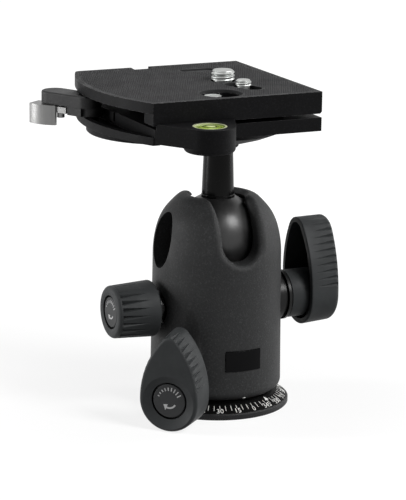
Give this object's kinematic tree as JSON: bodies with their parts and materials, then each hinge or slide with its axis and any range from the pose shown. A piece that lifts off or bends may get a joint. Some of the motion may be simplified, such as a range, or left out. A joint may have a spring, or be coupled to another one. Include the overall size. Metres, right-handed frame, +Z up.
{
  "type": "tripod ball head",
  "caption": "Tripod ball head with a graduated panoramic base, lock, friction and pan knobs, a bubble level and a lever clamp that holds a rubber-topped camera plate.",
  "frame": {"origin": "centre of the base underside, on the tripod thread's axis", "axes": "+Z up along the neck and the panoramic axis; -Y towards the bubble level and the front drop notch; +X along the main lock knob's axis"},
  "size_m": [0.1242, 0.1005, 0.1421],
  "materials": {
    "dark_coat": "matt black fine-texture powder coat on die-cast aluminium",
    "scale_black": "satin black anodised aluminium with white graduation",
    "machined_alloy": "turned and milled aluminium, hidden inside",
    "zinc_steel": "bright zinc-plated steel",
    "bronze": "plain bearing bronze, hidden inside",
    "slide_plastic": "dark sliding plastic",
    "label_black": "blank gloss black plate",
    "seal_black": "semi-gloss black seal",
    "knob_rubber": "soft-touch black rubber over a plastic core",
    "cap_grey": "dark grey disc with white printed arrow",
    "ball_black": "satin hard-anodised black aluminium",
    "vial_white": "pale rim of the bubble level",
    "vial_green": "yellow-green bubble level",
    "pad_rubber": "dark grey dotted rubber pad"
  },
  "bodies": {
    "base": {"base_disc": "dark_coat", "scale_ring": "scale_black", "pivot_post": "machined_alloy", "thread_bush": "zinc_steel", "base_screws": "zinc_steel", "pivot_ring": "zinc_steel"},
    "body": {"housing": "dark_coat", "label_plate": "label_black", "pivot_block": "machined_alloy", "post_bush": "bronze", "bore_plug": "machined_alloy", "thrust_washer": "slide_plastic", "upper_liner": "slide_plastic", "lock_bush": "bronze", "friction_bush": "bronze", "pan_bush": "bronze", "lock_collar": "seal_black", "friction_collar": "seal_black", "pan_collar": "seal_black", "friction_plunger": "zinc_steel", "friction_springs": "zinc_steel", "ball_seat": "slide_plastic"},
    "seat_lift": {"seat_carrier": "slide_plastic"},
    "lock_nut": {"lock_plunger": "zinc_steel"},
    "friction_load": {"friction_nut": "zinc_steel"},
    "pan_brake": {"pan_shoe": "bronze"},
    "lock_control": {"lock_knob": "knob_rubber", "lock_cap": "cap_grey", "lock_spindle": "zinc_steel"},
    "friction_control": {"friction_knob": "knob_rubber", "friction_cap": "cap_grey", "friction_spindle": "zinc_steel"},
    "pan_control": {"pan_knob": "knob_rubber", "pan_cap": "cap_grey", "pan_spindle": "zinc_steel"},
    "ball_body": {"ball": "ball_black"},
    "platform": {"neck": "ball_black", "platform_screw": "zinc_steel", "clamp_base": "dark_coat", "bubble_ring": "vial_white", "bubble_vial": "vial_green", "lever_pin": "zinc_steel", "lever_spring": "zinc_steel"},
    "jaw": {"clamp_jaw": "dark_coat"},
    "lever": {"clamp_lever": "dark_coat", "catch_pin": "dark_coat"},
    "catch": {"lever_catch": "zinc_steel"},
    "plate": {"camera_plate": "dark_coat", "plate_pad": "pad_rubber", "stowed_screw": "zinc_steel", "small_washer": "slide_plastic"},
    "large_camera_screw": {"large_screw": "zinc_steel"},
    "small_camera_screw": {"small_screw": "zinc_steel"}
  },
  "joints": [
    {"name": "pan", "type": "hinge", "parent": "base", "child": "body", "pos_m": [0, 0, 0.0162], "axis": [0, 0, 1], "continuous": true},
    {"name": "lock_turn", "type": "hinge", "parent": "body", "child": "lock_control", "pos_m": [0.045, 0, 0.0432], "axis": [1, 0, 0], "range_deg": [0, 150]},
    {"name": "lock_draw", "type": "slide", "parent": "body", "child": "lock_nut", "axis": [1, 0, 0], "range_m": [0, 0.001]},
    {"name": "seat_drop", "type": "slide", "parent": "body", "child": "seat_lift", "axis": [0, 0, -1], "range_m": [0, 0.00015]},
    {"name": "friction_turn", "type": "hinge", "parent": "body", "child": "friction_control", "pos_m": [-0.04, 0, 0.0432], "axis": [-1, 0, 0], "range_deg": [0, 270]},
    {"name": "friction_draw", "type": "slide", "parent": "body", "child": "friction_load", "axis": [-1, 0, 0], "range_m": [0, 0.0006]},
    {"name": "pan_lock_turn", "type": "hinge", "parent": "body", "child": "pan_control", "pos_m": [-0.03244, -0.02973, 0.013], "axis": [-0.7373, -0.6756, 0], "range_deg": [0, 100]},
    {"name": "pan_brake_draw", "type": "slide", "parent": "body", "child": "pan_brake", "axis": [-0.7373, -0.6756, 0], "range_m": [0, 0.00015]},
    {"name": "tilt", "type": "hinge", "parent": "body", "child": "ball_body", "pos_m": [0, 0, 0.0725], "axis": [1, 0, 0], "range_deg": [-90, 90]},
    {"name": "neck_turn", "type": "hinge", "parent": "ball_body", "child": "platform", "pos_m": [0, 0, 0.095], "axis": [0, 0, 1], "continuous": true},
    {"name": "lever_turn", "type": "hinge", "parent": "platform", "child": "lever", "pos_m": [-0.0536, 0.012, 0.1295], "axis": [0, 0, 1], "range_deg": [0, 80]},
    {"name": "jaw_slide", "type": "slide", "parent": "platform", "child": "jaw", "axis": [-1, 0, 0], "range_m": [0, 0.001]},
    {"name": "catch_press", "type": "hinge", "parent": "lever", "child": "catch", "pos_m": [-0.06167, 0.02197, 0.1257], "axis": [0, 0, 1], "range_deg": [-14, 0], "stiffness_Nm_per_rad": 0.01, "springref_deg": 5.73},
    {"name": "plate_slide", "type": "slide", "parent": "platform", "child": "plate", "axis": [0, 1, 0], "range_m": [0, 0.066]},
    {"name": "large_screw_turn", "type": "hinge", "parent": "plate", "child": "large_camera_screw", "pos_m": [0.0009, -0.0014, 0.135], "axis": [0, 0, 1], "continuous": true},
    {"name": "small_screw_turn", "type": "hinge", "parent": "plate", "child": "small_camera_screw", "pos_m": [0.0027, -0.017, 0.135], "axis": [0, 0, 1], "continuous": true}
  ],
  "couplings": [
    {"joint": "lock_draw", "follows": "lock_turn", "m_per_rad": 0.0003819},
    {"joint": "seat_drop", "follows": "lock_turn", "m_per_rad": 0.0000573},
    {"joint": "friction_draw", "follows": "friction_turn", "m_per_rad": 0.0001273},
    {"joint": "pan_brake_draw", "follows": "pan_lock_turn", "m_per_rad": 0.0000859},
    {"joint": "jaw_slide", "follows": "lever_turn", "m_per_rad": 0.0007161}
  ]
}
